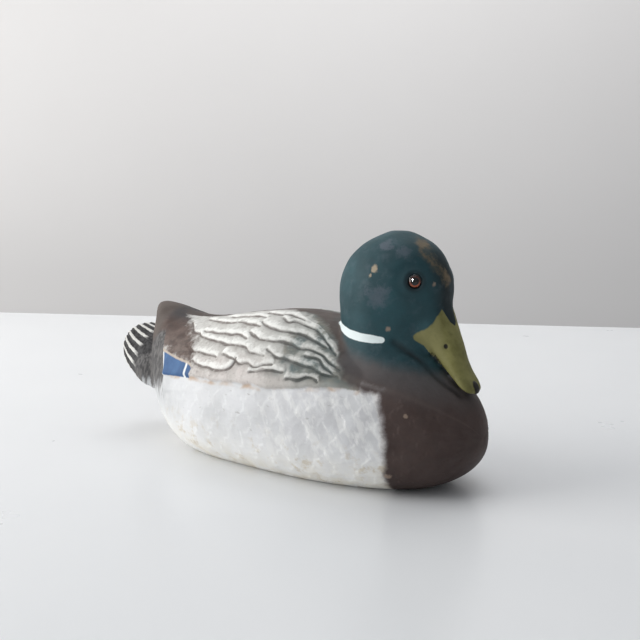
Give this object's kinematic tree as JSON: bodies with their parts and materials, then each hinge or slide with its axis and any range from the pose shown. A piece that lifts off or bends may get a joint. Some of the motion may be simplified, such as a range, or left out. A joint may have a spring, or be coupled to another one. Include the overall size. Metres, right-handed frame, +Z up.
{
  "type": "floating duck decoy",
  "caption": "Hollow carved wooden mallard drake decoy on a bottom board, with an inset head, bill, glass eyes, arched tail, ballast and a hinged anchor ring.",
  "frame": {"origin": "on the flat underside, at the middle of the decoy's overall length and width", "axes": "+X towards the breast and bill, +Y towards the bird's left, +Z up"},
  "size_m": [0.377, 0.1502, 0.1974],
  "materials": {
    "body_wood": "painted and worn, satin",
    "board_wood": "painted, matt",
    "head_wood": "painted dark green-blue, satin, worn",
    "bill_wood": "painted olive yellow, satin",
    "tail_wood": "painted dark with pale feather lines",
    "dowel_wood": "bare beech",
    "gasket_rubber": "matt",
    "steel_screws": "zinc plated",
    "steel_lag": "zinc plated",
    "ballast_lead": "dull grey lead",
    "brass_fittings": "aged",
    "eye_glass": "polished",
    "iris_enamel": "gloss amber brown",
    "pupil_enamel": "gloss black",
    "eye_putty": "painted over"
  },
  "bodies": {
    "decoy": {"body_upper": "body_wood", "bottom_board": "board_wood", "bottom_gasket": "gasket_rubber", "bottom_board_screws": "steel_screws", "head": "head_wood", "bill": "bill_wood", "tail_fan": "tail_wood", "ballast_weight": "ballast_lead", "ballast_screws": "steel_screws", "neck_lag_screw": "steel_lag", "neck_washer": "steel_lag", "neck_dowels": "dowel_wood", "line_tie_saddle": "brass_fittings", "line_tie_screws": "brass_fittings", "right_eye_glass": "eye_glass", "right_eye_pupil": "pupil_enamel", "right_eye_iris": "iris_enamel", "right_eye_putty": "eye_putty", "left_eye_glass": "eye_glass", "left_eye_pupil": "pupil_enamel", "left_eye_iris": "iris_enamel", "left_eye_putty": "eye_putty"},
    "ring": {"anchor_ring": "brass_fittings"}
  },
  "joints": [
    {"name": "ring_hinge", "type": "hinge", "parent": "decoy", "child": "ring", "pos_m": [0.126, 0, 0.0063], "axis": [0, 1, 0], "range_deg": [-20, 105]}
  ]
}
